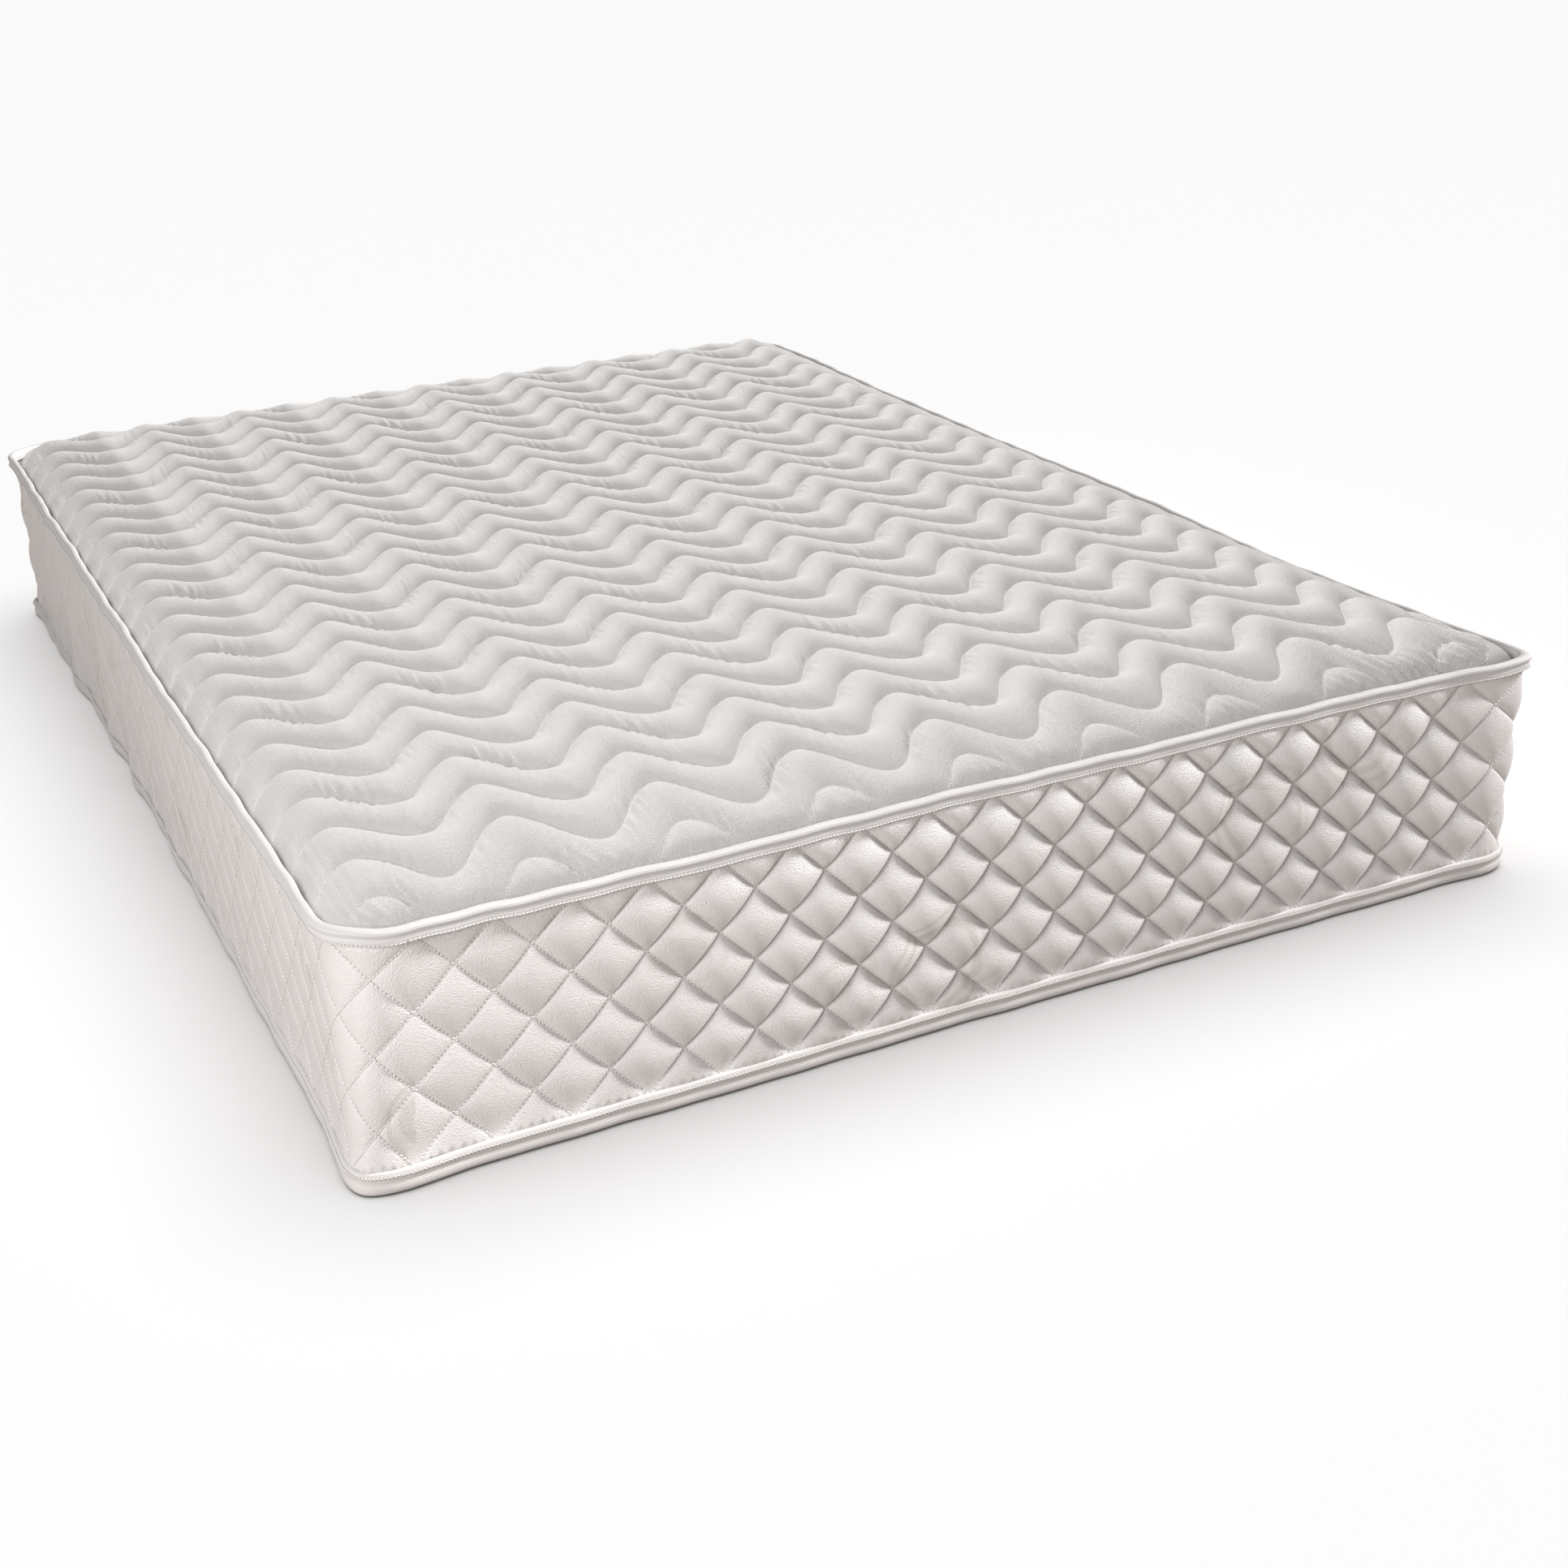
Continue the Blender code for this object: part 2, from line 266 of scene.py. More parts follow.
def drawn(places):
    """The places on the made-up cover. It is drawn out at the base of the left foot corner and more so at
    the right one, sags a little on the right near the foot end, and stands higher at the head end."""
    x, y, z = places[..., 0], places[..., 1], places[..., 2]
    up = np.clip(z / RIDGE, 0, 1)
    moved = places.copy()
    for side, pull in ((1, RIGHT_PULL + RIGHT_PULL_MORE * up), (-1, LEFT_PULL * (1 - up))):
        off = np.hypot(x - side * (HALF_WIDTH - PULL_IN), y + HALF_LENGTH - PULL_IN)
        share = pull * np.exp(-(np.hypot(off, PULL_TIP) - PULL_TIP) / PULL_REACH) / math.sqrt(2)
        moved[..., 0] += side * share
        moved[..., 1] -= share
    head = np.clip((y - HEAD_LIFT_FROM) / HEAD_LIFT_RUN, 0, 1)
    sag = SAG * np.exp(-(((y - SAG_PLACE) / SAG_LONG) ** 2) - (HALF_WIDTH - x) / SAG_WIDE)
    moved[..., 2] += up * (HEAD_LIFT * head * head * (3 - 2 * head) - sag)
    return moved


def around(along, height, inset):
    """Places on the cover at a distance round it, a height and an inset."""
    along = np.mod(along, ROUND)
    corner = BASE_CORNER + (TOP_CORNER - BASE_CORNER) * np.clip(height / RIDGE, 0, 1)
    stops = np.cumsum([0] + [part for side in SIDES for part in (side, QUARTER)])
    stretch = np.clip(np.searchsorted(stops, along, side="right") - 1, 0, 7)
    share = (along - stops[stretch]) / np.diff(stops)[stretch]
    side, turning = stretch // 2, stretch % 2
    facing = math.pi / 2 * (side - 1 + turning * share)
    out = np.stack([np.cos(facing), np.sin(facing)], axis=-1)
    reach = np.stack([HALF_WIDTH - corner, HALF_LENGTH - corner], axis=-1)
    start = np.array([(-1, -1), (1, -1), (1, 1), (-1, 1), (-1, -1)])
    ends = start[side + turning] * reach, start[side + 1] * reach
    middle = ends[0] + (ends[1] - ends[0]) * (share * (1 - turning))[..., None]
    flat = middle + out * (corner - inset + sway(along, height))[..., None]
    heights = np.broadcast_to(height, along.shape)
    return drawn(np.concatenate([flat, heights[..., None]], axis=-1))


def vertex_places(mesh):
    places = np.empty(len(mesh.vertices) * 3)
    mesh.vertices.foreach_get("co", places)
    return places.reshape(-1, 3)


def move_vertices(mesh, places):
    mesh.vertices.foreach_set("co", places.ravel())
    mesh.update()


def new_piece(bm, name, finish, smooth=True):
    """The bmesh as an object of that name and material, in place at the origin."""
    mesh = bpy.data.meshes.new(name)
    bm.to_mesh(mesh)
    bm.free()
    mesh.materials.append(finish)
    if smooth:
        mesh.shade_smooth()
    piece = bpy.data.objects.new(name, mesh)
    bpy.context.scene.collection.objects.link(piece)
    return piece


def lay_flat(mesh, flat):
    """Keeps each point's place on the flat fabric, in metres, as the mesh's own map."""
    corners = np.empty(len(mesh.loops), dtype=np.int32)
    mesh.loops.foreach_get("vertex_index", corners)
    sheet = mesh.uv_layers.new(name="flat")
    sheet.data.foreach_set("uv", flat[corners].astype(np.float32).ravel())


def mark_points(mesh, name, values):
    """Keeps a number from 0 to 1 with each point of a mesh."""
    mesh.attributes.new(name, "FLOAT", "POINT").data.foreach_set("value", values.astype(np.float32))


def marked(mesh, name):
    values = np.empty(len(mesh.vertices), dtype=np.float32)
    mesh.attributes[name].data.foreach_get("value", values)
    return values


def weld(mesh, reach=2e-5):
    """Joins the points of a mesh that now lie together."""
    bm = bmesh.new()
    bm.from_mesh(mesh)
    bmesh.ops.remove_doubles(bm, verts=bm.verts, dist=reach)
    bmesh.ops.dissolve_degenerate(bm, edges=bm.edges, dist=reach)
    bm.to_mesh(mesh)
    bm.free()


def worked_mesh(piece):
    """A copy of a piece's mesh with its modifiers worked in."""
    return bpy.data.meshes.new_from_object(piece.evaluated_get(bpy.context.evaluated_depsgraph_get()))


def work_in(piece):
    """Works a piece's modifiers into its mesh."""
    mesh = worked_mesh(piece)
    piece.modifiers.clear()
    piece.data = mesh
    mesh.name = piece.name
    return mesh


def trim(bm, place, outward):
    """Cuts away what lies outward of a plane."""
    bmesh.ops.bisect_plane(
        bm,
        geom=bm.verts[:] + bm.edges[:] + bm.faces[:],
        dist=1e-6,
        plane_co=place,
        plane_no=outward,
        clear_outer=True,
    )


def swell(piece, pressure, slack, frames=12):
    """Fills quilting by cloth simulation. The points marked held are sewn down, and the fabric between
    them, cut a little full, is blown out as far as its fullness says."""
    for name in ("held", "fullness"):
        group = piece.vertex_groups.new(name=name)
        for index, value in enumerate(marked(piece.data, name).tolist()):
            if value > 0.01:
                group.add((index,), value, "REPLACE")
    cloth = piece.modifiers.new("cloth", "CLOTH")
    cloth.collision_settings.use_collision = False
    cloth.collision_settings.use_self_collision = False
    cloth.point_cache.frame_end = frames
    fabric = cloth.settings
    fabric.quality = 4
    fabric.mass = 0.15
    fabric.tension_stiffness = fabric.compression_stiffness = 30
    fabric.shear_stiffness = 8
    fabric.bending_stiffness = 0.3
    fabric.air_damping = 5
    fabric.vertex_group_mass = "held"
    fabric.vertex_group_shrink = "fullness"
    fabric.vertex_group_pressure = "fullness"
    fabric.shrink_min = 0
    fabric.shrink_max = -slack
    fabric.use_pressure = True
    fabric.uniform_pressure_force = pressure
    fabric.effector_weights.gravity = 0
    for step in range(1, frames + 1):
        bpy.context.scene.frame_set(step)
    settled = worked_mesh(piece)
    move_vertices(piece.data, vertex_places(settled))
    bpy.data.meshes.remove(settled)
    piece.modifiers.clear()
    piece.vertex_groups.clear()


# ---------------------------------------------------------------------------------------------
# Border: damask sewn through wadding in diamonds, three high between the tapes and 86 round the
# mattress. The pillows are fullest on the right half of the foot end, and nearly flat on the left side.
# ---------------------------------------------------------------------------------------------
BORDER_LOW, BORDER_HIGH = 0.0225, 0.2565
DIAMOND_ROWS, DIAMONDS_ROUND = 3, 86
DIAMOND_STEPS = 11
DIAMOND_HIGH = (BORDER_HIGH - BORDER_LOW) / DIAMOND_ROWS
DIAMOND_WIDE = ROUND / DIAMONDS_ROUND
FIRST_NODE = 0.0065
SEAM_CREEP = 0.11  # draws the mesh in towards the seams, where the cloth turns sharply
BORDER_EDGE_INSET, BORDER_SEAM_INSET = 0.0022, 0.0078
BORDER_BACK_INSET, BORDER_TURN_IN = 0.0130, 0.004
BORDER_PRESSURE, BORDER_SLACK = 42, 0.015
FOOT_FULL, FOOT_FULL_MORE, FOOT_RISE_RUN = 0.0050, 0.0110, 0.50
SIDE_LOSS, RIGHT_FULL, LEFT_FULL = 0.0060, 0.010, 0.0024
FULLEST = 0.013  # pillow height at which the cloth gets its whole pressure and slack
TAPE_PULL, TAPE_PULL_REACH = 0.12, 0.040
CORNER_LOSS, CORNER_REACH = 0.60, 0.075
SCROLLS_A_METRE, SCROLL_STRAY, SCROLL_SHADE = 5.5, 0.07, (0.87, 0.835, 0.82, 1)
SCROLL_LINES = (
    (0.24, 0),
    (0.25, 1),
    (0.28, 1),
    (0.29, 0),
    (0.32, 0),
    (0.33, 0.8),
    (0.35, 0.8),
    (0.36, 0),
)


def fullness(along, height):
    """Height of the border's pillows at a distance round the mattress. Those by the tapes and at the
    right foot corner are flatter."""
    foot = SIDES[0]
    along = np.where(along > ROUND - QUARTER / 2, along - ROUND, along)
    rise = np.clip((along + 0.02) / FOOT_RISE_RUN, 0, 1)
    front = FOOT_FULL + FOOT_FULL_MORE * (0.35 * rise + 0.65 * rise * rise * (3 - 2 * rise))
    corner = 1 - CORNER_LOSS * np.exp(-(((along - foot - QUARTER / 2) / CORNER_REACH) ** 2))
    past = np.clip((along - foot) / 0.3, 0, 1)
    back = np.clip((along - (ROUND - SIDES[1] - 2 * QUARTER)) / 0.25, 0, 1)
    off_tape = np.minimum(height - BORDER_LOW, BORDER_HIGH - height)
    whole = np.clip(off_tape / TAPE_PULL_REACH, 0, 1)
    free = (front - SIDE_LOSS * past + (LEFT_FULL - RIGHT_FULL) * back) * corner
    return free * (TAPE_PULL + (1 - TAPE_PULL) * whole * (2 - whole))


def creep(share):
    """Moves a grid line, counted in quilting units, towards the nearest seam."""
    return share - SEAM_CREEP * np.sin(2 * np.pi * share)


def scroll_pattern():
    """Shader group: a double line that runs in loose scrolls over the flat fabric and fades in places."""
    group = bpy.data.node_groups.new("damask_scrolls", "ShaderNodeTree")
    group.interface.new_socket("Scroll", in_out="OUTPUT", socket_type="NodeSocketFloat")
    nodes, links = group.nodes, group.links
    given_out = nodes.new("NodeGroupOutput")
    place = nodes.new("ShaderNodeUVMap")
    place.uv_map = "flat"
    bend, patches = nodes.new("ShaderNodeTexNoise"), nodes.new("ShaderNodeTexNoise")
    bend.inputs["Scale"].default_value = 9
    patches.inputs["Scale"].default_value = 6
    swirl = nodes.new("ShaderNodeTexVoronoi")
    swirl.inputs["Scale"].default_value = SCROLLS_A_METRE
    swirl.inputs["Randomness"].default_value = 0.75
    stray = nodes.new("ShaderNodeVectorMath")
    stray.operation = "MULTIPLY_ADD"
    stray.inputs[1].default_value = (SCROLL_STRAY, SCROLL_STRAY, 0)
    lines = nodes.new("ShaderNodeValToRGB")
    ramp = lines.color_ramp
    ramp.elements[0].position, ramp.elements[0].color = 0, (0, 0, 0, 1)
    ramp.elements[1].position, ramp.elements[1].color = 1, (0, 0, 0, 1)
    for position, value in SCROLL_LINES:
        ramp.elements.new(position).color = (value, value, value, 1)
    fade = nodes.new("ShaderNodeMapRange")
    fade.inputs["From Min"].default_value = 0.36
    fade.inputs["From Max"].default_value = 0.56
    both = nodes.new("ShaderNodeMath")
    both.operation = "MULTIPLY"
    links.new(place.outputs["UV"], bend.inputs["Vector"])
    links.new(bend.outputs["Color"], stray.inputs[0])
    links.new(place.outputs["UV"], stray.inputs[2])
    links.new(stray.outputs["Vector"], swirl.inputs["Vector"])
    links.new(place.outputs["UV"], patches.inputs["Vector"])
    links.new(swirl.outputs["Distance"], lines.inputs["Fac"])
    links.new(patches.outputs["Fac"], fade.inputs["Value"])
    links.new(lines.outputs["Color"], both.inputs[0])
    links.new(fade.outputs["Result"], both.inputs[1])
    links.new(both.outputs["Value"], given_out.inputs["Scroll"])
    return group


def add_scrolls(nodes, links, shader, tint):
    """Weaves the scrolls into a fabric, a little darker than its ground."""
    texture = nodes.new("ShaderNodeGroup")
    texture.node_tree = scroll_pattern()
    mix = nodes.new("ShaderNodeMix")
    mix.data_type, mix.blend_type = "RGBA", "MULTIPLY"
    mix.inputs["B"].default_value = SCROLL_SHADE
    links.new(texture.outputs["Scroll"], mix.inputs["Factor"])
    links.new(tint.outputs["Result"], mix.inputs["A"])
    links.new(mix.outputs["Result"], shader.inputs["Base Color"])


bm = bmesh.new()
reach = DIAMOND_ROWS + 1
steps = 2 * reach * DIAMOND_STEPS
bmesh.ops.create_grid(bm, x_segments=steps, y_segments=steps, size=reach / math.sqrt(2))
bmesh.ops.rotate(bm, cent=(0, 0, 0), matrix=Matrix.Rotation(math.pi / 4, 3, "Z"), verts=bm.verts)
bmesh.ops.scale(bm, vec=(DIAMOND_WIDE, DIAMOND_HIGH, 1), verts=bm.verts)
for edge, outward in (
    ((0, 0, 0), (-1, 0, 0)),
    ((DIAMOND_WIDE, 0, 0), (1, 0, 0)),
    ((0, 0, 0), (0, -1, 0)),
    ((0, DIAMOND_ROWS * DIAMOND_HIGH, 0), (0, 1, 0)),
):
    trim(bm, edge, outward)
damask, nodes, links, shader = material_with("border_damask", (0.83, 0.795, 0.775), 0.33, sheen=0.15)
_, tint, _ = add_grain(nodes, links, shader, (0.85, 0.815, 0.80), (0.80, 0.76, 0.745), 1.5, 0.75)
add_scrolls(nodes, links, shader, tint)
border = new_piece(bm, "quilted_border", damask)
repeats = border.modifiers.new("repeats", "ARRAY")
repeats.count = DIAMONDS_ROUND
repeats.use_relative_offset = False
repeats.use_constant_offset = True
repeats.constant_offset_displace = (DIAMOND_WIDE, 0, 0)
repeats.use_merge_vertices = True
repeats.merge_threshold = 0.0001
strip = work_in(border)


def seam_inset(height):
    """The quilting seams lie deeper in the middle of the border than at the tapes."""
    into = np.clip(np.minimum(height - BORDER_LOW, BORDER_HIGH - height) / 0.03, 0, 1)
    return BORDER_EDGE_INSET + (BORDER_SEAM_INSET - BORDER_EDGE_INSET) * into * (2 - into)


def border_units(flat):
    """Places on the flat strip, counted in diamonds along the two directions of the seams."""
    over, up = flat[:, 0] / DIAMOND_WIDE, flat[:, 1] / DIAMOND_HIGH
    return creep(over + up), creep(over - up)


def on_border(rising, falling):
    """Distance round and height of a place counted in diamonds."""
    along = FIRST_NODE + (rising + falling) / 2 * DIAMOND_WIDE
    return along, BORDER_LOW + (rising - falling) / 2 * DIAMOND_HIGH


def from_a_seam(units):
    """How far places lie from the nearest seam, counted in quilting units."""
    return np.abs(units - np.round(units))


rising, falling = border_units(vertex_places(strip))
along, height = on_border(rising, falling)
bulge = fullness(along, height)
domed = np.abs(np.sin(np.pi * rising) * np.sin(np.pi * falling)) ** 0.45
lay_flat(strip, np.stack([along, height], axis=-1))
move_vertices(strip, around(along, height, seam_inset(height) - bulge * domed))
on_seam = np.minimum(from_a_seam(rising), from_a_seam(falling)) < 1e-4
on_edge = np.minimum(height - BORDER_LOW, BORDER_HIGH - height) < 1e-5
mark_points(strip, "held", on_seam | on_edge)
mark_points(strip, "fullness", np.clip(bulge / FULLEST, 0.06, 1))
weld(strip)
swell(border, BORDER_PRESSURE, BORDER_SLACK)


def close_border(mesh):
    """Turns the border's two edges in behind the wadding, and joins them by its back."""
    bm = bmesh.new()
    bm.from_mesh(mesh)
    middle = (BORDER_LOW + BORDER_HIGH) / 2
    loops = []
    for high in (False, True):
        rim = [edge for edge in bm.edges if edge.is_boundary and (edge.verts[0].co.z > middle) == high]
        turned = bmesh.ops.extrude_edge_only(bm, edges=rim)["geom"]
        loops.append([edge for edge in turned if isinstance(edge, bmesh.types.BMEdge)])
        for vert in [vert for vert in turned if isinstance(vert, bmesh.types.BMVert)]:
            corner = Vector(
                (
                    max(-HALF_WIDTH + MEAN_CORNER, min(HALF_WIDTH - MEAN_CORNER, vert.co.x)),
                    max(-HALF_LENGTH + MEAN_CORNER, min(HALF_LENGTH - MEAN_CORNER, vert.co.y)),
                    vert.co.z,
                )
            )
            vert.co = corner + (vert.co - corner).normalized() * (MEAN_CORNER - BORDER_BACK_INSET)
            vert.co.z += -BORDER_TURN_IN if high else BORDER_TURN_IN
    bmesh.ops.bridge_loops(bm, edges=loops[0] + loops[1])
    bmesh.ops.recalc_face_normals(bm, faces=bm.faces)
    bm.to_mesh(mesh)
    bm.free()


close_border(strip)
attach(border, "root")
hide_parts("border_ticking", "border_wadding")


# ---------------------------------------------------------------------------------------------
# Base panel: the same make as the border, lightly quilted in plain waves. It lies flat on the
# floor, and only its edge turns up to the lower tape.
# ---------------------------------------------------------------------------------------------
BASE_EDGE_INSET, BASE_EDGE_RISE, BASE_TURN_UP = 0.0100, 0.0095, 0.055
BASE_SEAM_RISE, BASE_ROWS, BASE_WAVE, BASE_WAVE_LONG = 0.0035, 18, 0.022, 0.18
BASE_COLUMNS, BASE_ROW_STEPS = 150, 12
BASE_BACK_HEIGHT, PANEL_TURN_IN = 0.0124, 0.001


def from_outline(x, y, half_width, half_length, corner):
    """Distance in from a rectangle with round corners."""
    past_x, past_y = np.abs(x) - (half_width - corner), np.abs(y) - (half_length - corner)
    outside = np.hypot(np.maximum(past_x, 0), np.maximum(past_y, 0))
    return corner - outside - np.minimum(np.maximum(past_x, past_y), 0)


def round_the_corners(x, y, half_width, half_length, corner, reach=0.12):
    """Squeezes the outer part of a rectangular grid so that its ends follow the round corners."""
    past = np.maximum(np.abs(y) - (half_length - corner), 0)
    limit = half_width - corner + np.sqrt(np.maximum(corner**2 - past**2, 0))
    outer = np.clip((np.abs(x) - (half_width - reach)) / reach, 0, 1)
    squeezed = half_width - reach + outer * (limit - half_width + reach)
    return np.sign(x) * np.where(outer > 0, squeezed, np.abs(x))


def close_panel(mesh, height, inward):
    """Turns a panel's edge in to a flat back at that height, and closes it."""
    bm = bmesh.new()
    bm.from_mesh(mesh)
    rim = [edge for edge in bm.edges if edge.is_boundary]
    turned = bmesh.ops.extrude_edge_only(bm, edges=rim)["geom"]
    back_verts = [vert for vert in turned if isinstance(vert, bmesh.types.BMVert)]
    bmesh.ops.scale(bm, vec=(1 - inward / HALF_WIDTH, 1 - inward / HALF_LENGTH, 1), verts=back_verts)
    for vert in back_verts:
        vert.co.z = height
    back_edges = [edge for edge in turned if isinstance(edge, bmesh.types.BMEdge)]
    bmesh.ops.holes_fill(bm, edges=back_edges, sides=0)
    bmesh.ops.recalc_face_normals(bm, faces=bm.faces)
    bm.to_mesh(mesh)
    bm.free()


bm = bmesh.new()
bmesh.ops.create_grid(bm, x_segments=BASE_COLUMNS, y_segments=BASE_ROW_STEPS * BASE_ROWS, size=1)
base_fabric = plain_cloth("base_ticking", (0.72, 0.71, 0.70), 1.0, 0.5, roughness=0.8)
base = new_piece(bm, "quilted_base", base_fabric)
flat = vertex_places(base.data)
base_half_width, base_half_length = HALF_WIDTH - BASE_EDGE_INSET, HALF_LENGTH - BASE_EDGE_INSET
base_corner = BASE_CORNER - BASE_EDGE_INSET
x = flat[:, 0] * base_half_width
across_row = (flat[:, 1] + 1) / 2 * BASE_ROWS
y = creep(across_row) / BASE_ROWS * 2 * base_half_length - base_half_length
calm = np.sin(np.pi * (flat[:, 1] + 1) / 2) ** 0.5
y = y + BASE_WAVE * calm * np.cos(2 * np.pi * x / BASE_WAVE_LONG)
y = np.clip(y, -base_half_length, base_half_length)
x = round_the_corners(x, y, base_half_width, base_half_length, base_corner)
inside = from_outline(x, y, base_half_width, base_half_length, base_corner)
turn_up = np.clip(1 - inside / BASE_TURN_UP, 0, 1)
puff = np.abs(np.sin(np.pi * creep(across_row))) ** 0.5
z = BASE_EDGE_RISE * turn_up**2 + BASE_SEAM_RISE * (1 - puff) * (1 - turn_up)
move_vertices(base.data, np.stack([x, y, np.maximum(z, 0)], axis=-1))
base.data.flip_normals()
close_panel(base.data, BASE_BACK_HEIGHT, PANEL_TURN_IN)
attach(base, "root")
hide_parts("bottom_panel_ticking", "bottom_panel_wadding")


# ---------------------------------------------------------------------------------------------
# Top panel: knitted ticking over fibre wadding and quilting foam, sewn through in waves that run
# across the bed, 82 mm apart. The channels between the seams are full, and gather into small folds
# beside the seams where the waves slant.
# ---------------------------------------------------------------------------------------------
TOP_EDGE_INSET, TOP_SEAM_RUN = 0.0105, 0.040
TOP_EDGE_HEIGHT, TOP_EDGE_LOW, TOP_CROWN = 0.265, 0.258, 0.286
ROW_PITCH, FIRST_ROW, LAST_ROW = 0.0825, -1, 25
FIRST_ROW_PLACE = -0.981
WAVE_LONG, WAVE_HIGH, WAVE_CREST = 0.1585, 0.041, -0.010
CHANNEL_PUFF = 0.0185
FOOT_EDGE_FULLNESS, FOOT_FULL_FROM, SIDE_EDGE_FULLNESS, SIDE_FULL_FROM = 0.45, 0.16, 0.50, 0.11
ROLL_END, ROLL_END_DROP = 0.014, 0.006
ROW_STEPS, COLUMNS = 12, 236
TOP_PRESSURE, TOP_SLACK = 40, 0.017
TOP_BACK_HEIGHT = 0.2480
TUCK_HIGH, TUCK_LONG, TUCK_REACH, TUCK_START = 0.0030, 0.0125, 0.018, 0.004
TUCK_WANDER_SHORT, TUCK_WANDER_LONG, TUCK_LEAST_SLANT = 0.043, 0.071, 0.45
FOLD_HIGH, FOLD_LONG, FOLD_REACH, FOLD_START = 0.0026, 0.017, 0.040, 0.006
FOLD_LEAN, FOLD_WANDER, FOLD_GROUP, FOLDS_FROM = 0.45, 0.11, 0.233, 0.8
STRONG_FOLDS_FROM, WHOLE_FOLDS_FROM, WEAK_FOLDS = 0.3, 0.42, 0.3
LEFT_LOW_FROM, LEFT_LOW_RUN = 0.35, 0.25
EDGE_SNAP = 0.0012  # a point of the grid this near the foot or head edge is put on it
top_half_width, top_half_length = HALF_WIDTH - TOP_EDGE_INSET, HALF_LENGTH - TOP_EDGE_INSET
top_corner = TOP_CORNER - TOP_EDGE_INSET


def wave_angle(x):
    return 2 * np.pi * (x - WAVE_CREST) / WAVE_LONG


def wave_place(x, row):
    """How far along the bed a row of quilting is at a place across it."""
    return FIRST_ROW_PLACE + ROW_PITCH * row + WAVE_HIGH * np.cos(wave_angle(x))


def wave_slant(x):
    """1 where a row runs straight across the bed, less where it slants."""
    return 1 / np.sqrt(1 + (WAVE_HIGH * 2 * np.pi / WAVE_LONG * np.sin(wave_angle(x))) ** 2)


def fuller(least, share):
    """Grows smoothly from the least fullness to 1 as the share goes from 0 to 1."""
    share = np.clip(share, 0, 1)
    return least + (1 - least) * share**2 * (3 - 2 * share)


def in_from_top_edge(x, y):
    return np.maximum(from_outline(x, y, top_half_width, top_half_length, top_corner), 0)


def seam_height(x, y):
    """Height of the sewn-down seams. They climb from the edge, lower on the left, to the crown."""
    left = np.clip((-x - LEFT_LOW_FROM) / LEFT_LOW_RUN, 0, 1)
    edge = TOP_EDGE_HEIGHT + (TOP_EDGE_LOW - TOP_EDGE_HEIGHT) * left
    return TOP_CROWN + (edge - TOP_CROWN) * np.exp(-in_from_top_edge(x, y) / TOP_SEAM_RUN)


bm = bmesh.new()
bmesh.ops.create_grid(bm, x_segments=COLUMNS, y_segments=(LAST_ROW - FIRST_ROW) * ROW_STEPS, size=1)
rows_layer = bm.verts.layers.float.new("row")
for vert in bm.verts:
    row = FIRST_ROW + (vert.co.y + 1) / 2 * (LAST_ROW - FIRST_ROW)
    vert[rows_layer] = float(creep(row))
    vert.co.x *= top_half_width
    place = float(wave_place(vert.co.x, vert[rows_layer]))
    off_edge = top_half_length - abs(place)
    vert.co.y = math.copysign(top_half_length, place) if abs(off_edge) < EDGE_SNAP else place
for outward in (-1, 1):
    trim(bm, (0, outward * top_half_length, 0), (0, outward, 0))
knit, nodes, links, shader = material_with("top_knit", (0.87, 0.835, 0.81), 0.6, sheen=0.25)
add_grain(nodes, links, shader, (0.88, 0.845, 0.82), (0.84, 0.80, 0.775), 1.7, 0.9)
top = new_piece(bm, "quilted_top", knit)
flat = vertex_places(top.data)
row = marked(top.data, "row")
lay_flat(top.data, flat[:, :2])
x = round_the_corners(flat[:, 0], flat[:, 1], top_half_width, top_half_length, top_corner)
y = flat[:, 1]
inside = in_from_top_edge(x, y)
part = row - np.floor(row)
domed = (1 - np.abs(2 * part - 1) ** 2.1) ** 0.72
full = fuller(FOOT_EDGE_FULLNESS, (y + top_half_length) / FOOT_FULL_FROM)
full = full * fuller(SIDE_EDGE_FULLNESS, inside / SIDE_FULL_FROM)
roll_end = np.sqrt(1 - (1 - np.clip(inside / ROLL_END, 0, 1)) ** 2)
puff = CHANNEL_PUFF * full * wave_slant(x) ** 0.6 * roll_end
z = seam_height(x, y) + domed * (puff - ROLL_END_DROP * (1 - roll_end))
move_vertices(top.data, drawn(np.stack([x, y, z], axis=-1)))
mark_points(top.data, "held", (from_a_seam(row) < 2e-4) | (inside < 0.0008))
mark_points(top.data, "fullness", full)
weld(top.data)
swell(top, TOP_PRESSURE, TOP_SLACK)
finer = top.modifiers.new("finer", "SUBSURF")
finer.levels = finer.render_levels = 1
finer_mesh = work_in(top)


